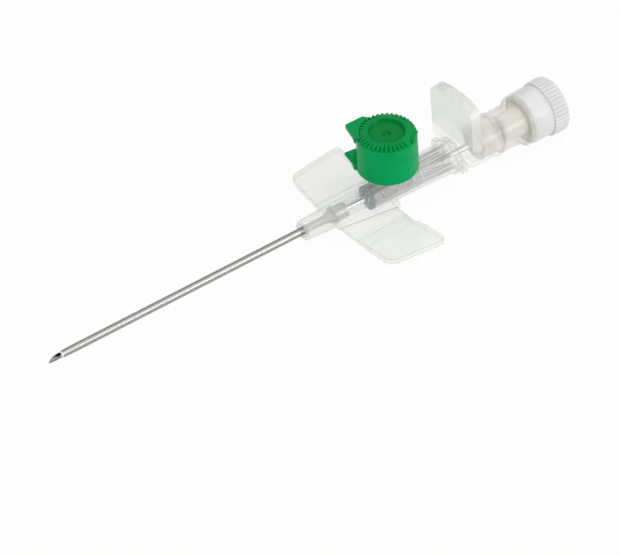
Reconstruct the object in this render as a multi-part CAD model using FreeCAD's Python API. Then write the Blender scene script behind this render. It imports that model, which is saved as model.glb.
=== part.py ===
import FreeCAD, Part

import math
import os

# IV cannula with wings and an injection port, needle in place, sheath off.
# Frame: +X from the needle tip to the end plug along the bore, +Z up along the port.
# The origin is where the bore axis meets the port axis plane. Lengths in mm.

# Clearances
running_gap = 0.03
bond_gap = 0.01
taper_gap = 0.02
loose_gap = 0.05
cap_gap = 0.15

# Needle, a bevelled steel tube
needle_radius = 0.475
needle_wall = 0.10
needle_tip_x = -63.7
bevel_angle = 19.0
lancet_angle = 11.0
lancet_turn = 32.0

# Catheter tube
tube_wall = 0.125
tube_end_x = -61.0
tube_taper_length = 3.0
tube_tip_wall = 0.06

# Nose of the catheter hub
nose_front_x = -16.5
nose_front_radius = 1.65
nose_rear_radius = 1.88
nose_edge_radius = 0.35
nose_mouth_depth = 1.1
nose_mouth_radius = 1.05

# Wedge bush that holds the tube in the nose
bush_front_x = -12.9
bush_flange_x = -10.9
bush_flange_length = 0.5
bush_rear_x = -8.5
bush_flare_radius = 0.95
bush_cup_radius = 1.22
bush_cup_wall = 0.18
bush_flange_radius = 1.40

# Barrel of the catheter hub
shoulder_x = -4.9
shoulder_length = 0.45
neck_radius = 1.98
barrel_radius = 2.45
barrel_rear_radius = 2.68
channel_radius = 1.30

# Luer socket at the rear of the hub
socket_mouth_x = 11.7
socket_mouth_radius = 2.155
luer_slope = 0.03
rim_length = 1.0
rim_radius = 3.0
ear_reach = 3.92
ear_width = 1.7

# Valve sleeve under the port
valve_front_x = -4.4
valve_length = 9.0
valve_wall = 0.50
valve_lip_length = 0.35
valve_lip_hole = 0.85

# Saddle that carries the wings
saddle_front_x = -10.35
saddle_rear_x = -0.35
saddle_front_half = 1.60
saddle_rear_half = 3.05
saddle_under = 0.60
saddle_shoulder_run = 1.35
saddle_shoulder_rise = 2.25
saddle_front_share = 0.80

# Wings
wing_top_z = -1.63
wing_panel_thickness = 0.89
wing_web_thickness = 0.60
wing_groove_y = 5.12
wing_groove_width = 0.36
wing_groove_depth = 0.18
wing_rise_angle = 1.5
wing_step_y = 7.0
wing_step_width = 0.8
wing_root_front_x = -10.20
wing_tip_front_x = -9.40
wing_tip_front_y = 12.50
wing_tip_rear_x = 0.50
wing_tip_rear_y = 13.60
wing_root_rear_x = -0.80
wing_front_corner = 1.6
wing_rear_corner = 0.85

# Injection port
port_x = -0.3
port_radius = 2.85
port_top_z = 9.9
port_mouth_radius = 2.15
port_foot_radius = 3.10
port_foot_z = 2.9
port_hole_radius = 1.00
port_seat_z = 2.70
port_bead_height = 0.16
port_bead_length = 0.7

# Port cap, collar and lid
cap_turn = 128.0
collar_bottom_z = 4.2
collar_top_z = 10.5
collar_bottom_radius = 4.75
collar_top_radius = 4.60
collar_wall = 0.80
collar_web_z = 5.0
collar_web_thickness = 1.0
collar_edge_radius = 0.25
lid_radius = 4.38
lid_thickness = 0.62
lid_slope = 0.22
lid_dish_radius = 2.80
lid_dish_depth = 0.55
lid_dimple_radius = 0.50
lid_dimple_depth = 0.30
lid_plug_length = 1.6
lid_plug_draft = 0.20
lid_lip_length = 0.30
lid_lip_wall = 0.45
lid_lip_gap = 0.10
tooth_count = 38
tooth_depth = 0.34
tooth_overrun = 0.12
tooth_inner_radius = 3.0
tooth_gap_half_angle = 27.0
lug_tip_radius = 0.35
lid_lug_reach = 6.48
lid_lug_root = 4.45
lid_lug_half = 2.5
lid_lug_drop = 0.15
lid_lug_edge = 0.55
lid_lug_height = 1.12
lid_lug_foot = 5.1
collar_lug_reach = 6.80
collar_lug_root = 4.7
collar_lug_half = 2.1
collar_lug_z = 5.35
collar_lug_edge = 0.25
collar_lug_foot = 5.7
hinge_inset = 0.13
hinge_height = 0.30
hinge_length = 2.4
hinge_radius = 0.30

# Needle hub and finger plate
male_tip_x = 5.2
male_wall = 0.70
nose_groove_count = 10
nose_groove_width = 0.32
nose_groove_depth = 0.24
nose_groove_end = 1.2
hub_partition_x = 12.9
hub_partition_length = 1.9
plate_front_x = 12.0
plate_thickness = 1.85
plate_half_width = 5.1
plate_bottom_z = 1.0
plate_shoulder_z = 9.75
plate_top_z = 10.7
plate_top_half = 2.3
plate_top_shift = -0.55
plate_top_rise = 0.22
plate_side_corner = 1.0
plate_bottom_corner = 0.5
grip_ridges = 4
grip_ridge_height = 0.16
grip_ridge_width = 0.2
grip_ridge_inset = 0.2
hub_roll = -2.8
hub_flange_radius = 3.0
hub_body_radius = 3.3
hub_body_rear_x = 19.4
hub_ring_radius = 3.5
hub_ring_length = 0.9

# Flashback chamber
chamber_spigot_length = 3.6
chamber_spigot_radius = 2.75
chamber_radius = 3.25
chamber_rear_radius = 3.40
chamber_bore_radius = 2.35
collar_ring_radius = 4.05
collar_ring_length = 0.95
chamber_rear_x = 24.67

# End plug with its vent filter
plug_radius = 4.1
plug_length = 6.13
plug_front_edge = 0.30
knurl_radius = 4.43
knurl_length = 2.7
knurl_depth = 0.24
knurl_count = 40
plug_spigot_length = 3.9
plug_spigot_wall = 0.75
plug_recess_radius = 3.2
plug_recess_depth = 1.1
vent_radius = 0.70
filter_length = 1.6

# Where turned forms start, away from the planes of symmetry
seam_turn = 57.0

# Derived sizes
tube_bore = needle_radius + running_gap
tube_radius = tube_bore + tube_wall
socket_depth_x = valve_front_x + valve_length
pocket_radius = socket_mouth_radius - luer_slope * (socket_mouth_x - socket_depth_x)
plate_rear_x = plate_front_x + plate_thickness
plug_front_x = chamber_rear_x
plug_rear_x = plug_front_x + plug_length
hinge_reach = lid_radius - hinge_inset
port_axis = FreeCAD.Vector(port_x, 0, 0)
x_dir = FreeCAD.Vector(1, 0, 0)
z_dir = FreeCAD.Vector(0, 0, 1)
origin = FreeCAD.Vector(0, 0, 0)


def along_x(a, b):
    return FreeCAD.Vector(a, 0, b)


def along_z(a, b):
    return FreeCAD.Vector(a, 0, b)


def plan(a, b):
    return FreeCAD.Vector(a, b, 0)


def across(a, b):
    return FreeCAD.Vector(0, a, b)


def rounded_wire(corners, place):
    """Closed wire through (a, b) or (a, b, radius) corners, with tangent arcs."""
    points = [FreeCAD.Vector(c[0], c[1], 0) for c in corners]
    radii = [c[2] if len(c) > 2 else 0.0 for c in corners]
    count = len(points)
    starts = []
    ends = []
    middles = []
    for i in range(count):
        here = points[i]
        back = (points[i - 1] - here).normalize()
        ahead = (points[(i + 1) % count] - here).normalize()
        if radii[i] <= 0:
            starts.append(here)
            ends.append(here)
            middles.append(None)
            continue
        half = back.getAngle(ahead) / 2.0
        reach = radii[i] / math.tan(half)
        bisector = (back + ahead).normalize()
        centre = here + bisector * (radii[i] / math.sin(half))
        starts.append(here + back * reach)
        ends.append(here + ahead * reach)
        middles.append(centre - bisector * radii[i])
    edges = []
    for i in range(count):
        if middles[i] is not None:
            arc = Part.Arc(place(starts[i].x, starts[i].y),
                           place(middles[i].x, middles[i].y),
                           place(ends[i].x, ends[i].y))
            edges.append(arc.toShape())
        a = place(ends[i].x, ends[i].y)
        j = (i + 1) % count
        b = place(starts[j].x, starts[j].y)
        if (b - a).Length > 1e-7:
            edges.append(Part.LineSegment(a, b).toShape())
    return Part.Wire(Part.__sortEdges__(edges))


def turned_x(corners):
    """Solid of revolution about the bore axis from (x, r) corners."""
    face = Part.Face(rounded_wire(corners, along_x))
    face.rotate(origin, x_dir, seam_turn)
    return face.revolve(origin, x_dir, 360)


def turned_z(corners):
    """Solid of revolution about the port axis, from (r, z) corners, at X = 0."""
    face = Part.Face(rounded_wire(corners, along_z))
    face.rotate(origin, z_dir, seam_turn)
    return face.revolve(origin, z_dir, 360)


def luer_radius(x):
    """Radius of the standard six per cent taper of the socket at X."""
    return socket_mouth_radius - luer_slope * (socket_mouth_x - x)


def mirror_y(shape):
    return shape.mirror(origin, FreeCAD.Vector(0, 1, 0))


def one_solid(shape):
    """The single solid of a boolean result, without seams from the operation."""
    shape = shape.removeSplitter()
    solids = shape.Solids
    if len(solids) != 1:
        raise ValueError("expected one solid, found %d" % len(solids))
    return solids[0]


def bevel_cutter(angle, turn, tip):
    """Block that removes everything above a plane that rises from the tip at the angle."""
    size = 12.0
    block = Part.makeBox(2 * size, size, size, FreeCAD.Vector(-size, -size / 2.0, 0))
    block.rotate(origin, FreeCAD.Vector(0, 1, 0), -angle)
    block.translate(FreeCAD.Vector(tip, 0, -needle_radius))
    block.rotate(origin, x_dir, turn)
    return block


def needle():
    """Steel tube with a main bevel and two lancet facets, opening upward."""
    rear = hub_partition_x + hub_partition_length
    inner = needle_radius - needle_wall
    tube = turned_x([(needle_tip_x, inner), (rear, inner),
                     (rear, needle_radius), (needle_tip_x, needle_radius)])
    tube = tube.cut(bevel_cutter(bevel_angle, 0, needle_tip_x))
    facet = bevel_angle + lancet_angle
    for turn in (lancet_turn, -lancet_turn):
        tube = tube.cut(bevel_cutter(facet, turn, needle_tip_x - 0.02))
    return one_solid(tube)


def catheter_tube():
    """Thin tube, tapered at the tip, whose rear end flares over the wedge bush."""
    tip_outer = tube_bore + tube_tip_wall
    flare_x = bush_flange_x - bond_gap
    flare_start = bush_front_x + 0.5
    flare_bore = bush_flare_radius + bond_gap
    return turned_x([
        (tube_end_x, tube_bore), (flare_start, tube_bore), (flare_x, flare_bore),
        (flare_x, flare_bore + tube_wall), (flare_start, tube_radius),
        (tube_end_x + tube_taper_length, tube_radius), (tube_end_x, tip_outer)])


def wedge_bush():
    """Metal bush, a cone inside the flared tube, a flange and a cup that guides the needle."""
    flange_end = bush_flange_x + bush_flange_length
    cup_inner = bush_cup_radius - bush_cup_wall
    throat = tube_bore
    cone_start = bush_front_x + 0.75
    slope = (bush_flare_radius - tube_bore) / (bush_flange_x - (bush_front_x + 0.5))
    cone_radius = tube_bore + slope * (cone_start - (bush_front_x + 0.5)) - bond_gap
    return turned_x([
        (cone_start, throat), (flange_end, throat), (bush_rear_x, cup_inner),
        (bush_rear_x, bush_cup_radius), (flange_end, bush_cup_radius),
        (flange_end, bush_flange_radius), (bush_flange_x, bush_flange_radius),
        (bush_flange_x, bush_flare_radius - bond_gap), (cone_start, max(cone_radius, throat + 0.03))])


def hub_barrel():
    """Nose, neck, shoulder, barrel and rim of the catheter hub as one turned form."""
    rim_x = socket_mouth_x - rim_length
    return turned_x([
        (nose_front_x, 0), (nose_front_x, nose_front_radius, nose_edge_radius),
        (bush_flange_x, nose_rear_radius), (shoulder_x, neck_radius),
        (shoulder_x + shoulder_length, barrel_radius, 0.15), (socket_depth_x, barrel_radius),
        (rim_x, barrel_rear_radius), (rim_x, rim_radius, 0.2),
        (socket_mouth_x, rim_radius, 0.2), (socket_mouth_x, 0)])


def hub_bore():
    """Mouth, tube seat, bush seat, channel, valve pocket and luer socket, cut as one form."""
    tube_hole = tube_radius + bond_gap
    flare_start = bush_front_x + 0.5
    flare_hole = bush_flare_radius + tube_wall + 2 * bond_gap
    bush_hole = bush_flange_radius + bond_gap
    flange_end = bush_flange_x + bush_flange_length
    return turned_x([
        (nose_front_x - 0.5, 0), (nose_front_x - 0.5, nose_mouth_radius),
        (nose_front_x + nose_mouth_depth * 0.35, nose_mouth_radius),
        (nose_front_x + nose_mouth_depth, tube_hole), (flare_start, tube_hole),
        (bush_flange_x - bond_gap, flare_hole), (bush_flange_x - bond_gap, bush_hole),
        (flange_end, bush_hole), (flange_end, channel_radius),
        (valve_front_x - bond_gap, channel_radius), (valve_front_x - bond_gap, pocket_radius),
        (socket_depth_x, pocket_radius), (socket_mouth_x, socket_mouth_radius),
        (socket_mouth_x + 0.5, socket_mouth_radius), (socket_mouth_x + 0.5, 0)])


def saddle_section(x, half, share):
    """Section of the saddle at X. Its sides keep their slope, so every face stays flat."""
    bottom = wing_top_z - wing_panel_thickness
    foot = half - saddle_under
    shoulder = half - saddle_shoulder_run * share
    height = wing_top_z + saddle_shoulder_rise * share
    corners = [(-foot, bottom), (foot, bottom), (half, wing_top_z),
               (shoulder, height), (-shoulder, height), (-half, wing_top_z)]
    return Part.makePolygon([FreeCAD.Vector(x, a, b) for a, b in corners + corners[:1]])


def saddle():
    """Root block of the wings, wider and higher toward the port."""
    front = saddle_section(saddle_front_x, saddle_front_half, saddle_front_share)
    rear = saddle_section(saddle_rear_x, saddle_rear_half, 1.0)
    return Part.makeLoft([front, rear], True, True)


def wing_profile():
    """Half section of a wing: web, bending groove and thicker outer panel, raised a little."""
    panel_bottom = wing_top_z - wing_panel_thickness
    web_top = wing_top_z - 0.10
    web_bottom = web_top - wing_web_thickness
    tip = wing_tip_rear_y + 1.0
    groove = wing_groove_width / 2.0
    step_end = wing_step_y + wing_step_width
    flat = [(0, web_bottom), (wing_groove_y, web_bottom), (wing_step_y, web_bottom),
            (step_end, panel_bottom), (tip, panel_bottom), (tip, wing_top_z),
            (step_end, wing_top_z), (wing_step_y, web_top), (wing_groove_y + groove, web_top),
            (wing_groove_y, web_top - wing_groove_depth), (wing_groove_y - groove, web_top),
            (0, web_top)]
    slope = math.tan(math.radians(wing_rise_angle))
    return [(y, z + slope * max(0.0, y - wing_groove_y)) for y, z in flat]


def wing_outline():
    """Plan of both wings on the +Y side, swept at the front, flared at the end."""
    step_end = wing_step_y + wing_step_width
    slope = (wing_tip_rear_x - wing_root_rear_x) / (wing_tip_rear_y - wing_step_y)
    return [(wing_root_front_x, 0), (wing_root_front_x, 4.0, 3.0),
            (wing_tip_front_x, wing_tip_front_y, wing_front_corner),
            (wing_tip_rear_x, wing_tip_rear_y, wing_rear_corner),
            (wing_root_rear_x + slope * (step_end - wing_step_y) + 0.35, step_end, 0.5),
            (wing_root_rear_x, wing_step_y, 0.5), (wing_root_rear_x, 0)]


def wing():
    """One wing: its section carried along X, trimmed by its plan outline."""
    length = wing_tip_rear_x - wing_root_front_x + 4.0
    section = Part.Face(rounded_wire(wing_profile(), across))
    bar = section.extrude(FreeCAD.Vector(length, 0, 0))
    bar.translate(FreeCAD.Vector(wing_root_front_x - 2.0, 0, 0))
    sheet = Part.Face(rounded_wire(wing_outline(), plan))
    block = sheet.extrude(FreeCAD.Vector(0, 0, 4))
    block.translate(FreeCAD.Vector(0, 0, wing_top_z - 2))
    return bar.common(block)


def port_tube():
    """Port with a flared foot, a snap bead for the collar and a chamfered mouth."""
    bead_z = collar_web_z + collar_web_thickness + running_gap
    shape = turned_z([
        (0, 0), (port_foot_radius * 0.75, 0), (port_foot_radius, port_foot_z * 0.55),
        (port_radius, port_foot_z, 0.6), (port_radius, bead_z),
        (port_radius + port_bead_height, bead_z + 0.12),
        (port_radius, bead_z + port_bead_length), (port_radius, port_top_z, 0.2),
        (0, port_top_z)])
    shape.translate(port_axis)
    return shape


def port_bore():
    """Tapered mouth of the port and the hole down to the valve sleeve."""
    seat = port_mouth_radius - luer_slope * (port_top_z - port_seat_z)
    shape = turned_z([
        (0, 0), (port_hole_radius, 0), (port_hole_radius, port_seat_z), (seat, port_seat_z),
        (port_mouth_radius, port_top_z), (port_mouth_radius, port_top_z + 1),
        (0, port_top_z + 1)])
    shape.translate(port_axis)
    return shape


def luer_ears():
    """Two ears on the rim, the ends of a disc cut to a band."""
    disc = Part.makeCylinder(ear_reach, rim_length, origin, x_dir)
    band = Part.makeBox(rim_length, 2 * ear_reach, ear_width,
                        FreeCAD.Vector(0, -ear_reach, -ear_width / 2.0))
    ears = disc.common(band)
    ears.translate(FreeCAD.Vector(socket_mouth_x - rim_length, 0, 0))
    return ears


def catheter_hub():
    """Clear moulding with the nose, wings, port, luer socket and ears."""
    side = wing()
    outer = hub_barrel().fuse([saddle(), side, mirror_y(side), port_tube(), luer_ears()])
    outer = outer.cut(hub_bore())
    return one_solid(outer.cut(port_bore()))


def port_valve():
    """Silicone sleeve that covers the port hole from inside the barrel."""
    outer = pocket_radius - bond_gap
    inner = outer - valve_wall
    lip_rear_x = valve_front_x + valve_lip_length
    return turned_x([(valve_front_x, valve_lip_hole), (lip_rear_x, valve_lip_hole),
                     (lip_rear_x + 0.2, inner), (socket_depth_x, inner),
                     (socket_depth_x, outer), (valve_front_x, outer)])


def place_cap(shape):
    """Turns a cap piece, modelled with its lug along +X, to its place on the port."""
    shape.rotate(origin, z_dir, cap_turn)
    shape.translate(port_axis)
    return shape


def lug_wire(tip, root, half, z):
    """Outline of a thumb lug, a corner on two shoulders, at height Z."""
    corners = [(0, -half), (root, -half, 0.2), (tip, 0, lug_tip_radius), (root, half, 0.2),
               (0, half)]
    return rounded_wire(corners, lambda a, b: FreeCAD.Vector(a, b, z))


def thumb_lug(wires, inner_radius):
    """Thumb lug along +X, lofted through outlines and kept outside the inner radius."""
    block = Part.makeLoft(wires, True, True)
    low = block.BoundBox.ZMin - 1.0
    core = Part.makeCylinder(inner_radius, block.BoundBox.ZLength + 2.0,
                             FreeCAD.Vector(0, 0, low), z_dir)
    return block.cut(core)


def collar_outer_radius(z):
    share = (z - collar_bottom_z) / (collar_top_z - collar_bottom_z)
    return collar_bottom_radius + share * (collar_top_radius - collar_bottom_radius)


def hinge_roll(radius, length):
    """Cylinder along the lid's hinge line, opposite the lug."""
    start = FreeCAD.Vector(-hinge_reach, -length / 2.0, collar_top_z + hinge_height)
    return Part.makeCylinder(radius, length, start, FreeCAD.Vector(0, 1, 0))


def port_cap_collar():
    """Green collar that turns on the port, with a web under the snap bead and a lug."""
    top_inner = collar_top_radius - collar_wall
    bottom_inner = collar_bottom_radius - collar_wall
    web_radius = port_radius + running_gap
    web_top = collar_web_z + collar_web_thickness
    shell = turned_z([
        (bottom_inner, collar_bottom_z), (collar_bottom_radius, collar_bottom_z, collar_edge_radius),
        (collar_top_radius, collar_top_z, collar_edge_radius), (top_inner, collar_top_z),
        (top_inner, web_top), (web_radius, web_top), (web_radius, collar_web_z),
        (bottom_inner, collar_web_z)])
    lug = thumb_lug([
        lug_wire(collar_lug_reach, collar_lug_root, collar_lug_half, collar_lug_z),
        lug_wire(collar_lug_reach, collar_lug_root, collar_lug_half,
                 collar_lug_z - collar_lug_edge),
        lug_wire(collar_lug_foot, collar_lug_root, collar_lug_half, collar_bottom_z)],
        collar_outer_radius(collar_lug_z) - 0.3)
    shape = shell.fuse(lug)
    shape = shape.cut(hinge_roll(hinge_radius + loose_gap, hinge_length + 2 * loose_gap))
    return one_solid(place_cap(shape))


def tooth_cutters():
    """Radial V grooves in the rim of the lid, left out beside the hinge."""
    cutters = []
    top = collar_top_z + lid_thickness
    pitch = 360.0 / tooth_count
    half = math.radians(pitch / 2.0) * lid_radius * 0.97
    for i in range(tooth_count):
        angle = (i + 0.5) * pitch
        if abs(angle - 180.0) < tooth_gap_half_angle:
            continue
        tip = FreeCAD.Vector(tooth_inner_radius, 0, top + 0.02)
        far = lid_radius + tooth_overrun
        grow = (far - tooth_inner_radius) / (lid_radius - tooth_inner_radius)
        rim = top - lid_slope * grow
        low = FreeCAD.Vector(far, 0, rim - tooth_depth * grow)
        left = FreeCAD.Vector(far, half * grow, rim + 0.04)
        right = FreeCAD.Vector(far, -half * grow, rim + 0.04)
        faces = [Part.Face(Part.makePolygon([tip, left, right, tip])),
                 Part.Face(Part.makePolygon([tip, low, left, tip])),
                 Part.Face(Part.makePolygon([tip, right, low, tip])),
                 Part.Face(Part.makePolygon([low, right, left, low]))]
        wedge = Part.Solid(Part.Shell(faces))
        if wedge.Volume < 0:
            wedge.reverse()
        wedge.rotate(origin, z_dir, angle)
        cutters.append(wedge)
    return cutters


def port_cap_lid():
    """Green lid: toothed crown with a dish, a lip, a sealing plug and a thumb lug."""
    top = collar_top_z + lid_thickness
    lip_radius = collar_top_radius - collar_wall - lid_lip_gap
    plug_radius_top = port_mouth_radius - loose_gap * 2
    plug_low = collar_top_z - lid_plug_length
    disc = turned_z([
        (0, plug_low), (plug_radius_top - lid_plug_draft, plug_low, 0.3),
        (plug_radius_top, collar_top_z - 0.5), (plug_radius_top, collar_top_z),
        (lip_radius - lid_lip_wall, collar_top_z),
        (lip_radius - lid_lip_wall, collar_top_z - lid_lip_length),
        (lip_radius, collar_top_z - lid_lip_length), (lip_radius, collar_top_z),
        (lid_radius, collar_top_z), (lid_radius, top - lid_slope, 0.08),
        (tooth_inner_radius, top, 0.1), (lid_dish_radius, top, 0.05),
        (lid_dish_radius - 0.25, top - lid_dish_depth * 0.8, 0.1),
        (lid_dimple_radius + 0.2, top - lid_dish_depth),
        (lid_dimple_radius, top - lid_dish_depth - lid_dimple_depth),
        (0, top - lid_dish_depth - lid_dimple_depth)])
    lug_top = top - lid_lug_drop
    upper = lug_wire(lid_lug_reach, lid_lug_root, lid_lug_half, lug_top)
    edge = lug_wire(lid_lug_reach, lid_lug_root, lid_lug_half, lug_top - lid_lug_edge)
    foot = lug_wire(lid_lug_foot, lid_lug_root, lid_lug_half, lug_top - lid_lug_height)
    seat = lug_wire(lid_lug_reach, lid_lug_root, lid_lug_half, collar_top_z)
    hang = thumb_lug([upper, edge, foot], collar_top_radius + cap_gap)
    bridge = thumb_lug([upper, seat], lid_radius - 0.6)
    shape = disc.fuse([hang, bridge, hinge_roll(hinge_radius, hinge_length)])
    shape = shape.cut(tooth_cutters())
    return one_solid(place_cap(shape))


def plate_outline(extra, low, inset, corner):
    """Front view of the finger plate, with a domed top, as (y, z) corners."""
    top = plate_top_z + extra
    shoulder = plate_shoulder_z + extra
    half = plate_half_width - inset
    return [(-half, low, corner), (half, low, corner),
            (half, shoulder, plate_side_corner), (plate_top_shift + plate_top_half, top, 2.0),
            (plate_top_shift - plate_top_half, top, 2.0), (-half, shoulder, plate_side_corner)]


def plate_wire(x, extra):
    outline = plate_outline(extra, plate_bottom_z, 0, plate_bottom_corner)
    return rounded_wire(outline, lambda a, b: FreeCAD.Vector(x, a, b))


def grip_ridge(x, extra):
    """Thin slab that follows the domed top and stands a little above it."""
    outline = plate_outline(extra, plate_shoulder_z - 1.5, grip_ridge_inset, 0)
    wire = rounded_wire(outline, lambda a, b: FreeCAD.Vector(x, a, b))
    return Part.Face(wire).extrude(FreeCAD.Vector(grip_ridge_width, 0, 0))


def finger_plate():
    """Upright thumb plate, a loft that is higher at the rear, with ridges over its top."""
    plate = Part.makeLoft([plate_wire(plate_front_x, 0), plate_wire(plate_rear_x, plate_top_rise)],
                          True, True)
    ridges = []
    pitch = plate_thickness / (grip_ridges + 0.5)
    for i in range(grip_ridges):
        x = plate_front_x + pitch * (i + 0.5)
        rise = plate_top_rise * (x - plate_front_x) / plate_thickness
        ridges.append(grip_ridge(x, rise + grip_ridge_height))
    return plate.fuse(ridges)


def nose_grooves(tip_radius, rear_radius):
    """Long shallow grooves around the luer nose, open at its tip."""
    start = male_tip_x - 0.5
    end = socket_mouth_x - nose_groove_end
    reach = rear_radius + 0.5
    low = tip_radius - nose_groove_depth
    groove = Part.makeBox(end - start, nose_groove_width, reach - low,
                          FreeCAD.Vector(start, -nose_groove_width / 2, low))
    cutters = []
    for i in range(nose_groove_count):
        cutter = groove.copy()
        cutter.rotate(origin, x_dir, 360.0 * (i + 0.5) / nose_groove_count)
        cutters.append(cutter)
    return cutters


def needle_hub():
    """Clear hub with a hollow luer nose, finger plate and chamber socket, rolled a little."""
    nose_rear = luer_radius(socket_mouth_x) - taper_gap
    nose_tip = luer_radius(male_tip_x) - taper_gap
    body_rear = hub_body_rear_x
    body = turned_x([
        (male_tip_x, 0), (male_tip_x, nose_tip, 0.15), (socket_mouth_x, nose_rear),
        (plate_front_x, nose_rear), (plate_front_x, hub_flange_radius, 0.2),
        (plate_rear_x, hub_flange_radius), (plate_rear_x + 0.2, hub_body_radius),
        (body_rear - hub_ring_length, hub_body_radius),
        (body_rear - hub_ring_length, hub_ring_radius, 0.15),
        (body_rear, hub_ring_radius, 0.2), (body_rear, 0)])
    partition_end = hub_partition_x + hub_partition_length
    front_bore = nose_tip - male_wall
    needle_hole = needle_radius + bond_gap
    socket = chamber_spigot_radius + bond_gap
    bore = turned_x([
        (male_tip_x - 1, 0), (male_tip_x - 1, front_bore), (hub_partition_x - 0.8, front_bore),
        (hub_partition_x, needle_hole), (partition_end, needle_hole),
        (partition_end + 0.4, 1.6), (body_rear - chamber_spigot_length - bond_gap, 1.6),
        (body_rear - chamber_spigot_length - bond_gap, socket), (body_rear + 1, socket),
        (body_rear + 1, 0)])
    shape = one_solid(body.fuse(finger_plate()).cut(bore).cut(nose_grooves(nose_tip, nose_rear)))
    shape.rotate(origin, x_dir, hub_roll)
    return shape


def flashback_chamber():
    """Clear chamber: spigot, barrel, collar ring and a bore for the end plug."""
    start = hub_body_rear_x - chamber_spigot_length
    ring_x = chamber_rear_x - collar_ring_length
    mouth_x = chamber_rear_x - plug_spigot_length - 0.4
    return turned_x([
        (start, 1.9), (start, chamber_spigot_radius, 0.15),
        (hub_body_rear_x, chamber_spigot_radius), (hub_body_rear_x, chamber_radius),
        (ring_x, chamber_rear_radius), (ring_x, collar_ring_radius, 0.25),
        (chamber_rear_x, collar_ring_radius, 0.15), (chamber_rear_x, chamber_bore_radius),
        (mouth_x, chamber_bore_radius - 0.12), (mouth_x - 0.4, 1.9)])


def knurled_band():
    """Band of axial V ridges, a star section carried along X and chamfered at its ends."""
    band_x = plug_rear_x - knurl_length
    points = []
    for i in range(2 * knurl_count):
        radius = knurl_radius if i % 2 == 0 else knurl_radius - knurl_depth
        angle = math.pi * i / knurl_count
        points.append(FreeCAD.Vector(band_x, radius * math.cos(angle), radius * math.sin(angle)))
    points.append(points[0])
    star = Part.Face(Part.makePolygon(points)).extrude(FreeCAD.Vector(knurl_length, 0, 0))
    envelope = turned_x([
        (band_x, 0), (band_x, knurl_radius - 0.15), (band_x + 0.2, knurl_radius + 0.02),
        (plug_rear_x - 0.35, knurl_radius + 0.02), (plug_rear_x, knurl_radius - 0.32),
        (plug_rear_x, 0)])
    return star.common(envelope)


def end_plug():
    """White plug: hollow spigot, smooth barrel, knurled band and a recessed rear face."""
    spigot = chamber_bore_radius - loose_gap
    tip_x = plug_front_x - plug_spigot_length
    band_x = plug_rear_x - knurl_length
    barrel = turned_x([
        (tip_x, 0), (tip_x, spigot - 0.12, 0.15), (plug_front_x, spigot),
        (plug_front_x, plug_radius, plug_front_edge), (band_x + 0.5, plug_radius),
        (band_x + 0.5, 0)])
    floor_x = plug_rear_x - plug_recess_depth
    filter_rear = plug_front_x + filter_length
    bore_radius = spigot - plug_spigot_wall
    bore = turned_x([
        (tip_x - 1, 0), (tip_x - 1, bore_radius), (filter_rear, bore_radius),
        (filter_rear, vent_radius), (floor_x, vent_radius), (floor_x, plug_recess_radius - 0.2),
        (plug_rear_x + 1, plug_recess_radius + 0.1), (plug_rear_x + 1, 0)])
    return one_solid(barrel.fuse(knurled_band()).cut(bore))


def vent_filter():
    """Porous disc that lets air out of the chamber and keeps blood in."""
    radius = chamber_bore_radius - loose_gap - plug_spigot_wall - bond_gap
    return Part.makeCylinder(radius, filter_length, FreeCAD.Vector(plug_front_x, 0, 0), x_dir)


def main():
    os.makedirs("parts", exist_ok=True)
    needle().exportStep("parts/needle.step")
    catheter_tube().exportStep("parts/catheter_tube.step")
    wedge_bush().exportStep("parts/wedge_bush.step")
    catheter_hub().exportStep("parts/catheter_hub.step")
    port_valve().exportStep("parts/port_valve.step")
    port_cap_collar().exportStep("parts/port_cap_collar.step")
    port_cap_lid().exportStep("parts/port_cap_lid.step")
    needle_hub().exportStep("parts/needle_hub.step")
    flashback_chamber().exportStep("parts/flashback_chamber.step")
    end_plug().exportStep("parts/end_plug.step")
    vent_filter().exportStep("parts/vent_filter.step")


main()
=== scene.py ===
import math

import bmesh
import bpy
from mathutils import Matrix, Vector

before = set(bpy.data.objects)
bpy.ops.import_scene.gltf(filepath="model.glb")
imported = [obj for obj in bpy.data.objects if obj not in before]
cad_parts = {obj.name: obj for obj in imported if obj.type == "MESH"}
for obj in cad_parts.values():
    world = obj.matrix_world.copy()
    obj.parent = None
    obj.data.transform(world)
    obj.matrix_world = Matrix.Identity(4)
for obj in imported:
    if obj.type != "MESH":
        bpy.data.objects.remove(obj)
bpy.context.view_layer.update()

MM = 0.001
MM_PER_M = 1000.0
X, Y, Z = 0, 1, 2
WHITE = (1.0, 1.0, 1.0, 1.0)

# Camera, far enough away for nearly parallel lines
CAMERA_RIGHT = (0.799589, -0.599956, -0.026637)
CAMERA_UP = (0.411297, 0.514756, 0.752237)
CAMERA_BACK = (-0.437598, -0.612437, 0.658353)
CAMERA_PLACE_MM = (-1328.017, -1837.179, 1965.064)
CAMERA_LENS_MM = 1162.42
CAMERA_SENSOR_MM = 36.0
CAMERA_CLIP_M = (0.1, 20.0)

# Floor, just under the rim of the plug
FLOOR_Z_MM = -4.5
FLOOR_HALF_MM = 900.0
FLOOR_GREY = (0.88, 0.88, 0.88, 1.0)
FLOOR_WHITE_SHARE = 0.94

# World, brighter overhead than near the horizon
WORLD_HEIGHTS = (0.15, 0.62)
WORLD_STRENGTHS = (0.10, 0.90)

# Lamps, both aimed at one place
LAMP_TARGET_MM = (0, 0, 5)

# Places on the object where a look changes, in millimetres
PORT_X_MM = -0.3
# Radius of the painted shade over the lid's dish
LID_DISH_SHADE_RADIUS_MM = 2.9
VALVE_RIM_X_MM = (-4.2, -3.7)
PLUG_SPIGOT_END_X_MM = 24.75
NEEDLE_GRIND_END_X_MM = -61.2

# Clear pieces, thin where they face the eye and denser where they turn away
FACING_BLEND = 0.2
FACE_COLOUR_FADE = 12.0
VALVE_RIM_DENSITY = 0.6
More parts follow.
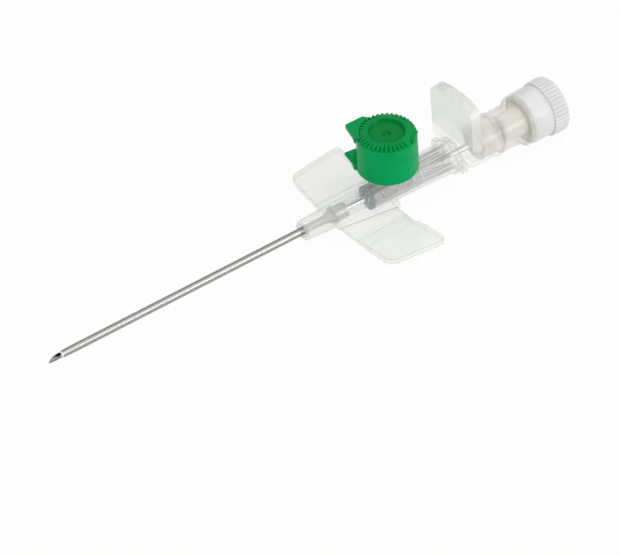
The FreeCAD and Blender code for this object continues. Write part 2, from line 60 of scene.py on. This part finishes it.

# Painted shade: dark lines along the edges of clear pieces
EDGE_SAMPLES = 12
EDGE_GAIN = 5.0
EDGE_SHADE = 0.32

# Painted shade: darker recesses of opaque pieces
RECESS_REACH_MM = 0.7
RECESS_SAMPLES = 8
RECESS_GAIN = 1.6

# Edges above this angle stay sharp, the others are shaded smooth
SHARP_ANGLE_DEG = 28.0

# Colour sockets of the Mix node
MIX_FACTOR, MIX_FIRST, MIX_SECOND, MIX_RESULT = 0, 6, 7, 2


class Nodes:
    """Small helper that builds the node tree of one material or of the world."""

    def __init__(self, owner, output_kind="ShaderNodeOutputMaterial"):
        self.owner = owner
        owner.use_nodes = True
        self.tree = owner.node_tree
        self.tree.nodes.clear()
        self.output = self.add(output_kind)

    def add(self, kind, **inputs):
        node = self.tree.nodes.new(kind)
        for key, value in inputs.items():
            node.inputs[key.replace("_", " ")].default_value = value
        return node

    def link(self, a, b):
        self.tree.links.new(a, b)

    def point(self, scale=(1.0, 1.0, 1.0), shift=(0.0, 0.0, 0.0)):
        """Object coordinates in millimetres, scaled and shifted."""
        place = self.add("ShaderNodeTexCoord").outputs["Object"]
        mapping = self.add("ShaderNodeMapping", Scale=[v * MM_PER_M for v in scale],
                           Location=shift)
        self.link(place, mapping.inputs["Vector"])
        return mapping.outputs["Vector"]

    def noise(self, size_mm, detail=2.0, stretch=(1.0, 1.0, 1.0)):
        node = self.add("ShaderNodeTexNoise", Scale=1.0 / size_mm, Detail=detail, Roughness=0.5)
        self.link(self.point(stretch), node.inputs["Vector"])
        return node.outputs["Fac"]

    def ramp(self, fac, stops):
        """Colour ramp from two (position, colour) stops."""
        node = self.add("ShaderNodeValToRGB")
        for element, (place, colour) in zip(node.color_ramp.elements, stops):
            element.position = place
            element.color = (*colour, 1.0)
        self.link(fac, node.inputs["Fac"])
        return node.outputs["Color"]

    def spread(self, value, low, high, start=0.0, end=1.0):
        """Value that goes from low to high while the input goes from start to end."""
        node = self.add("ShaderNodeMapRange")
        node.inputs["From Min"].default_value = start
        node.inputs["From Max"].default_value = end
        node.inputs["To Min"].default_value = low
        node.inputs["To Max"].default_value = high
        self.link(value, node.inputs["Value"])
        return node.outputs["Result"]

    def tones(self, size_mm, dark, light, stretch=(1.0, 1.0, 1.0)):
        """Colour that drifts between two tones over the surface."""
        return self.ramp(self.noise(size_mm, detail=3.0, stretch=stretch),
                         [(0.3, dark), (0.7, light)])

    def drift(self, size_mm, low, high):
        """Value that drifts between low and high over the surface."""
        return self.spread(self.noise(size_mm, detail=3.0), low, high)

    def along(self, axis, start_mm, end_mm, low, high):
        """Value that goes from low to high between two places on an axis."""
        split = self.add("ShaderNodeSeparateXYZ")
        self.link(self.point(), split.inputs[0])
        return self.spread(split.outputs[axis], low, high, start_mm, end_mm)

    def near_axis(self, x_mm, full_mm, none_mm):
        """One close to an upright axis on the middle plane, none beyond a distance."""
        reach = self.add("ShaderNodeVectorMath")
        reach.operation = "LENGTH"
        self.link(self.point(scale=(1.0, 1.0, 0.0), shift=(-x_mm, 0.0, 0.0)), reach.inputs[0])
        return self.spread(reach.outputs["Value"], 1.0, 0.0, full_mm, none_mm)

    def bump(self, height, depth_mm, normal=None):
        node = self.add("ShaderNodeBump", Distance=depth_mm * MM, Strength=1.0)
        self.link(height, node.inputs["Height"])
        if normal is not None:
            self.link(normal, node.inputs["Normal"])
        return node.outputs["Normal"]

    def calc(self, kind, a, b):
        """Clamped sum, product or other of two sockets or numbers."""
        node = self.add("ShaderNodeMath")
        node.operation = kind
        node.use_clamp = True
        for socket, value in zip(node.inputs, (a, b)):
            if isinstance(value, float):
                socket.default_value = value
            else:
                self.link(value, socket)
        return node.outputs[0]

    def blend(self, fac, first, second_colour):
        """Mix of a colour socket with a fixed colour."""
        node = self.add("ShaderNodeMix")
        node.data_type = "RGBA"
        self.link(fac, node.inputs[MIX_FACTOR])
        self.link(first, node.inputs[MIX_FIRST])
        node.inputs[MIX_SECOND].default_value = (*second_colour, 1.0)
        return node.outputs[MIX_RESULT]

    def facing(self):
        """None where the surface faces the eye, one where it turns away."""
        return self.add("ShaderNodeLayerWeight", Blend=FACING_BLEND).outputs["Facing"]

    def edge_line(self, radius_mm):
        """One along the edges of the form, none on its open faces."""
        bevel = self.add("ShaderNodeBevel", Radius=radius_mm * MM)
        bevel.samples = EDGE_SAMPLES
        flat = self.add("ShaderNodeNewGeometry")
        dot = self.add("ShaderNodeVectorMath")
        dot.operation = "DOT_PRODUCT"
        self.link(bevel.outputs["Normal"], dot.inputs[0])
        self.link(flat.outputs["Normal"], dot.inputs[1])
        bend = self.calc("SUBTRACT", 1.0, dot.outputs["Value"])
        return self.calc("MULTIPLY", bend, EDGE_GAIN)

    def recess(self, reach_mm):
        """Mask for painted shade: one inside a recess or gap, none on an open face."""
        shelter = self.add("ShaderNodeAmbientOcclusion", Distance=reach_mm * MM)
        shelter.samples = RECESS_SAMPLES
        shelter.only_local = True
        closed = self.calc("SUBTRACT", 1.0, shelter.outputs["AO"])
        return self.calc("MULTIPLY", closed, RECESS_GAIN)

    def seen_by(self, *rays):
        """One for any of the named kinds of ray, such as Is Camera Ray."""
        path = self.add("ShaderNodeLightPath")
        value = path.outputs[rays[0]]
        for ray in rays[1:]:
            value = self.calc("MAXIMUM", value, path.outputs[ray])
        return value

    def principled(self, **values):
        node = self.add("ShaderNodeBsdfPrincipled", **values)
        self.link(node.outputs["BSDF"], self.output.inputs["Surface"])
        return node

    def mix_surface(self, fac, first, second):
        """Output a mix of two shaders."""
        mix = self.add("ShaderNodeMixShader")
        for socket, value in zip(mix.inputs, (fac, first.outputs[0], second.outputs[0])):
            self.link(value, socket)
        self.link(mix.outputs[0], self.output.inputs["Surface"])


def new_material(name):
    return Nodes(bpy.data.materials.new(name))


def clear_plastic(name, tint, shade, front, edge, rough, rim=0.45, line_mm=0.16, flow_mm=0.012,
                  coat=1.0, shine=0.5, glow=0.0, face=None, thick=()):
    """Moulded clear plastic, thin where it faces the eye and denser along its edges.

    front and edge are its density where it faces the eye and where it turns away, rim is
    what the edge lines of painted shade add, and line_mm is their width. face is the colour
    where the surface faces the eye. Each entry of thick is (axis, from, to, added density
    from, added density to) for a milkier stretch.
    """
    n = new_material(name)
    bsdf = n.principled(IOR=1.5, Specular_IOR_Level=shine, Coat_Weight=coat, Coat_Roughness=0.06,
                        Subsurface_Weight=glow, Subsurface_Scale=0.002,
                        Subsurface_Radius=(1.0, 1.0, 1.0))
    colour = n.tones(2.6, shade, tint, stretch=(0.5, 1.0, 1.0))
    turn = n.facing()
    alpha = n.spread(turn, front, edge)
    if face:
        towards = n.calc("SUBTRACT", 1.0, n.calc("MULTIPLY", turn, FACE_COLOUR_FADE))
        colour = n.blend(towards, colour, face)
    # Painted shade: darker, denser lines along the edges
    if rim:
        line = n.edge_line(line_mm)
        colour = n.blend(line, colour, [EDGE_SHADE * v for v in shade])
        alpha = n.calc("ADD", alpha, n.calc("MULTIPLY", line, rim))
    for stretch in thick:
        alpha = n.calc("ADD", alpha, n.along(*stretch))
    n.link(colour, bsdf.inputs["Base Color"])
    n.link(alpha, bsdf.inputs["Alpha"])
    n.link(n.drift(0.9, low=rough * 0.7, high=rough * 1.4), bsdf.inputs["Roughness"])
    flow = n.bump(n.noise(size_mm=1.8, stretch=(0.35, 1.0, 1.0)), depth_mm=flow_mm)
    grain = n.bump(n.noise(size_mm=0.12), depth_mm=flow_mm * 0.1, normal=flow)
    n.link(grain, bsdf.inputs["Normal"])
    return n.owner


def valve_rubber(name, front_colour, tint, shade):
    """Thin silicone sleeve with a dark blue front rim."""
    n = new_material(name)
    bsdf = n.principled(IOR=1.42)
    rim = n.along(X, *VALVE_RIM_X_MM, low=1.0, high=0.0)
    density = n.spread(n.facing(), low=0.26, high=0.60)
    density = n.calc("ADD", density, n.calc("MULTIPLY", rim, VALVE_RIM_DENSITY))
    n.link(n.blend(rim, n.tones(1.2, shade, tint), front_colour), bsdf.inputs["Base Color"])
    n.link(density, bsdf.inputs["Alpha"])
    n.link(n.drift(0.6, low=0.3, high=0.5), bsdf.inputs["Roughness"])
    n.link(n.bump(n.noise(size_mm=0.15), depth_mm=0.002), bsdf.inputs["Normal"])
    return n.owner


def solid_plastic(name, light, dark, rough, shine, glow=0.0, inside_light=None, dish_shade=None, recess_shade=None):
    """Moulded opaque plastic with slight colour drift, flow marks and a fine grain.

    inner is (x where it ends, colour) for painted light on the stretch that lies inside another
    part, where that part's shadow falls.
    core is (x of an upright axis, radius, colour) for painted shade in the dish of a lid.
    deep is the colour of painted shade down in recesses and between teeth.
    """
    n = new_material(name)
    bsdf = n.principled(IOR=1.49, Specular_IOR_Level=shine, Subsurface_Weight=glow,
                        Subsurface_Scale=0.0012, Subsurface_Radius=(1.0, 1.0, 1.0))
    colour = n.tones(3.2, dark, light)
    if inside_light:
        # Painted light: brighter cream where the piece lies inside another part
        end_mm, inside_light_colour = inside_light
        inside = n.along(X, end_mm - 0.1, end_mm + 0.1, low=1.0, high=0.0)
        colour = n.blend(inside, colour, inside_light_colour)
    if dish_shade:
        # Painted shade: darker within a radius of the axis, over the lid's dish
        x_mm, radius_mm, dish_shade_colour = dish_shade
        middle = n.near_axis(x_mm, full_mm=radius_mm - 0.4, none_mm=radius_mm + 0.6)
        colour = n.blend(middle, colour, dish_shade_colour)
    if recess_shade:
        # Painted shade, darkest far inside recesses and gaps
        colour = n.blend(n.recess(RECESS_REACH_MM), colour, recess_shade)
    n.link(colour, bsdf.inputs["Base Color"])
    n.link(n.drift(0.7, low=rough * 0.75, high=rough * 1.3), bsdf.inputs["Roughness"])
    flow = n.bump(n.noise(size_mm=2.2), depth_mm=0.010)
    grain = n.bump(n.noise(size_mm=0.10), depth_mm=0.002, normal=flow)
    n.link(grain, bsdf.inputs["Normal"])
    return n.owner


def drawn_steel(name, light, dark, rough, ground=None):
    """Drawn steel with fine lines along X.

    ground is (x where it ends, colour) for a ground tip.
    """
    n = new_material(name)
    bsdf = n.principled(Metallic=1.0)
    lines = n.noise(size_mm=0.09, stretch=(0.01, 1.0, 1.0))
    colour = n.ramp(lines, [(0.25, dark), (0.75, light)])
    if ground:
        end_mm, ground_colour = ground
        tip = n.along(X, end_mm - 0.3, end_mm, low=1.0, high=0.0)
        colour = n.blend(tip, colour, ground_colour)
    n.link(colour, bsdf.inputs["Base Color"])
    n.link(n.spread(lines, low=rough * 0.7, high=rough * 1.5), bsdf.inputs["Roughness"])
    n.link(n.bump(lines, depth_mm=0.0001), bsdf.inputs["Normal"])
    return n.owner


def porous(name, light, dark, grain_mm):
    """Sintered disc, small rounded grains with dark pores."""
    n = new_material(name)
    bsdf = n.principled(Roughness=0.8)
    cells = n.add("ShaderNodeTexVoronoi", Scale=1.0 / grain_mm)
    n.link(n.point(), cells.inputs["Vector"])
    distance = cells.outputs["Distance"]
    n.link(n.ramp(distance, [(0.1, light), (0.6, dark)]), bsdf.inputs["Base Color"])
    n.link(n.bump(n.spread(distance, low=1.0, high=0.0), depth_mm=0.05), bsdf.inputs["Normal"])
    return n.owner


def dress_all():
    """Give each node its material. The pieces keep their solids' shapes."""
    looks = {
        # Milkier at the nose and over both wings
        "catheter_hub": clear_plastic(
            "hub_clear", tint=(0.95, 0.95, 0.93), shade=(0.90, 0.90, 0.88),
            front=0.15, edge=0.58, rough=0.16, rim=0.6, glow=0.3,
            thick=((X, -11.8, -9.6, 0.16, 0.0), (Y, -5.0, -4.0, 0.14, 0.0),
                   (Y, 4.0, 5.0, 0.0, 0.14))),
        # Milkier in the finger plate
        "needle_hub": clear_plastic(
            "needle_hub_clear", tint=(0.98, 0.97, 0.94), shade=(0.95, 0.94, 0.91),
            front=0.10, edge=0.38, rough=0.18, rim=0.18, line_mm=0.08,
            thick=((Z, 2.6, 3.4, 0.0, 0.30),)),
        "flashback_chamber": clear_plastic(
            "chamber_clear", tint=(0.97, 0.95, 0.88), shade=(0.93, 0.91, 0.83),
            front=0.34, edge=0.74, rough=0.20, rim=0.3),
        # Painted shade: the tube is near black where it turns away, darkening its edges, and pale
        # where it faces the eye
        "catheter_tube": clear_plastic(
            "tube_clear", tint=(0.040, 0.038, 0.036), shade=(0.028, 0.027, 0.026),
            front=0.06, edge=1.0, rough=0.45, rim=0.0, flow_mm=0.0004, coat=0.0, shine=0.2,
            face=(0.80, 0.79, 0.77)),
        # The grey body is partly the sleeve's own tone and partly painted shade of the cap above
        # it
        "port_valve": valve_rubber(
            "valve_silicone", front_colour=(0.05, 0.14, 0.20),
            tint=(0.50, 0.52, 0.50), shade=(0.42, 0.44, 0.42)),
        # Painted shade in the teeth gaps, recesses and knurl grooves of the cap and plug below
        "port_cap_collar": solid_plastic(
            "cap_green", light=(0.0, 0.39, 0.110), dark=(0.0, 0.34, 0.092),
            rough=0.24, shine=0.05, recess_shade=(0.0, 0.20, 0.040)),
        "port_cap_lid": solid_plastic(
            "lid_green", light=(0.0, 0.32, 0.078), dark=(0.0, 0.275, 0.066),
            rough=0.20, shine=0.08, recess_shade=(0.0, 0.16, 0.026),
            # Painted shade over the dish of the lid
            dish_shade=(PORT_X_MM, LID_DISH_SHADE_RADIUS_MM, (0.0, 0.220, 0.040))),
        "end_plug": solid_plastic(
            "plug_white", light=(0.80, 0.80, 0.80), dark=(0.74, 0.74, 0.74),
            rough=0.30, shine=0.4, glow=0.5, recess_shade=(0.63, 0.63, 0.65),
            # Painted light on the spigot inside the chamber
            inside_light=(PLUG_SPIGOT_END_X_MM, (0.96, 0.94, 0.88))),
        "needle": drawn_steel(
            "needle_steel", light=(0.90, 0.89, 0.87), dark=(0.80, 0.79, 0.77), rough=0.20,
            ground=(NEEDLE_GRIND_END_X_MM, (0.34, 0.33, 0.33))),
        "wedge_bush": drawn_steel(
            "bush_steel", light=(0.66, 0.66, 0.66), dark=(0.48, 0.48, 0.48), rough=0.35),
        "vent_filter": porous(
            "filter_porous", light=(0.86, 0.85, 0.80), dark=(0.62, 0.60, 0.55), grain_mm=0.16),
    }
    for node, material in looks.items():
        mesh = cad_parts[node].data
        mesh.materials.clear()
        mesh.materials.append(material)


def smooth_nodes():
    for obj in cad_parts.values():
        obj.data.shade_smooth()
        obj.data.set_sharp_from_angle(angle=math.radians(SHARP_ANGLE_DEG))


def make_camera():
    data = bpy.data.cameras.new("photo_camera")
    data.sensor_width = CAMERA_SENSOR_MM
    data.lens = CAMERA_LENS_MM
    data.clip_start, data.clip_end = CAMERA_CLIP_M
    camera = bpy.data.objects.new("photo_camera", data)
    right, up, back = Vector(CAMERA_RIGHT), Vector(CAMERA_UP), Vector(CAMERA_BACK)
    turn = Matrix((right, up, back)).transposed()
    camera.matrix_world = Matrix.Translation(Vector(CAMERA_PLACE_MM) * MM) @ turn.to_4x4()
    bpy.context.scene.collection.objects.link(camera)
    bpy.context.scene.camera = camera


def make_floor():
    """Pale floor that shows almost white and keeps a faint shadow."""
    mesh = bpy.data.meshes.new("floor")
    form = bmesh.new()
    bmesh.ops.create_grid(form, x_segments=1, y_segments=1, size=FLOOR_HALF_MM * MM)
    form.to_mesh(mesh)
    form.free()
    floor = bpy.data.objects.new("floor", mesh)
    floor.location.z = FLOOR_Z_MM * MM
    n = new_material("floor_white")
    seen = n.seen_by("Is Camera Ray", "Is Transmission Ray", "Is Glossy Ray")
    n.mix_surface(n.calc("MULTIPLY", seen, FLOOR_WHITE_SHARE),
                  n.add("ShaderNodeBsdfDiffuse", Color=FLOOR_GREY),
                  n.add("ShaderNodeEmission", Color=WHITE))
    mesh.materials.append(n.owner)
    bpy.context.scene.collection.objects.link(floor)


def make_world():
    """Soft light from above, and plain white behind the object."""
    world = bpy.data.worlds.new("studio")
    bpy.context.scene.world = world
    n = Nodes(world, "ShaderNodeOutputWorld")
    direction = n.add("ShaderNodeTexCoord").outputs["Generated"]
    split = n.add("ShaderNodeSeparateXYZ")
    n.link(direction, split.inputs[0])
    light = n.add("ShaderNodeBackground", Color=WHITE)
    n.link(n.spread(split.outputs[Z], *WORLD_STRENGTHS, *WORLD_HEIGHTS), light.inputs["Strength"])
    n.mix_surface(n.seen_by("Is Camera Ray", "Is Transmission Ray"),
                  light, n.add("ShaderNodeBackground", Color=WHITE, Strength=1.0))


def area_light(name, place_mm, size_mm, power):
    data = bpy.data.lights.new(name, "AREA")
    data.shape = "RECTANGLE"
    data.size = size_mm[0] * MM
    data.size_y = size_mm[1] * MM
    data.energy = power
    lamp = bpy.data.objects.new(name, data)
    place = Vector(place_mm) * MM
    lamp.location = place
    away = place - Vector(LAMP_TARGET_MM) * MM
    lamp.rotation_euler = away.to_track_quat("Z", "Y").to_euler()
    bpy.context.scene.collection.objects.link(lamp)


make_camera()
make_world()
area_light("key", place_mm=(200, -270, 130), size_mm=(240, 180), power=0.38)
area_light("fill", place_mm=(-260, -160, 240), size_mm=(240, 160), power=0.23)
make_floor()
smooth_nodes()
dress_all()

scene = bpy.context.scene
scene.view_settings.view_transform = "Standard"
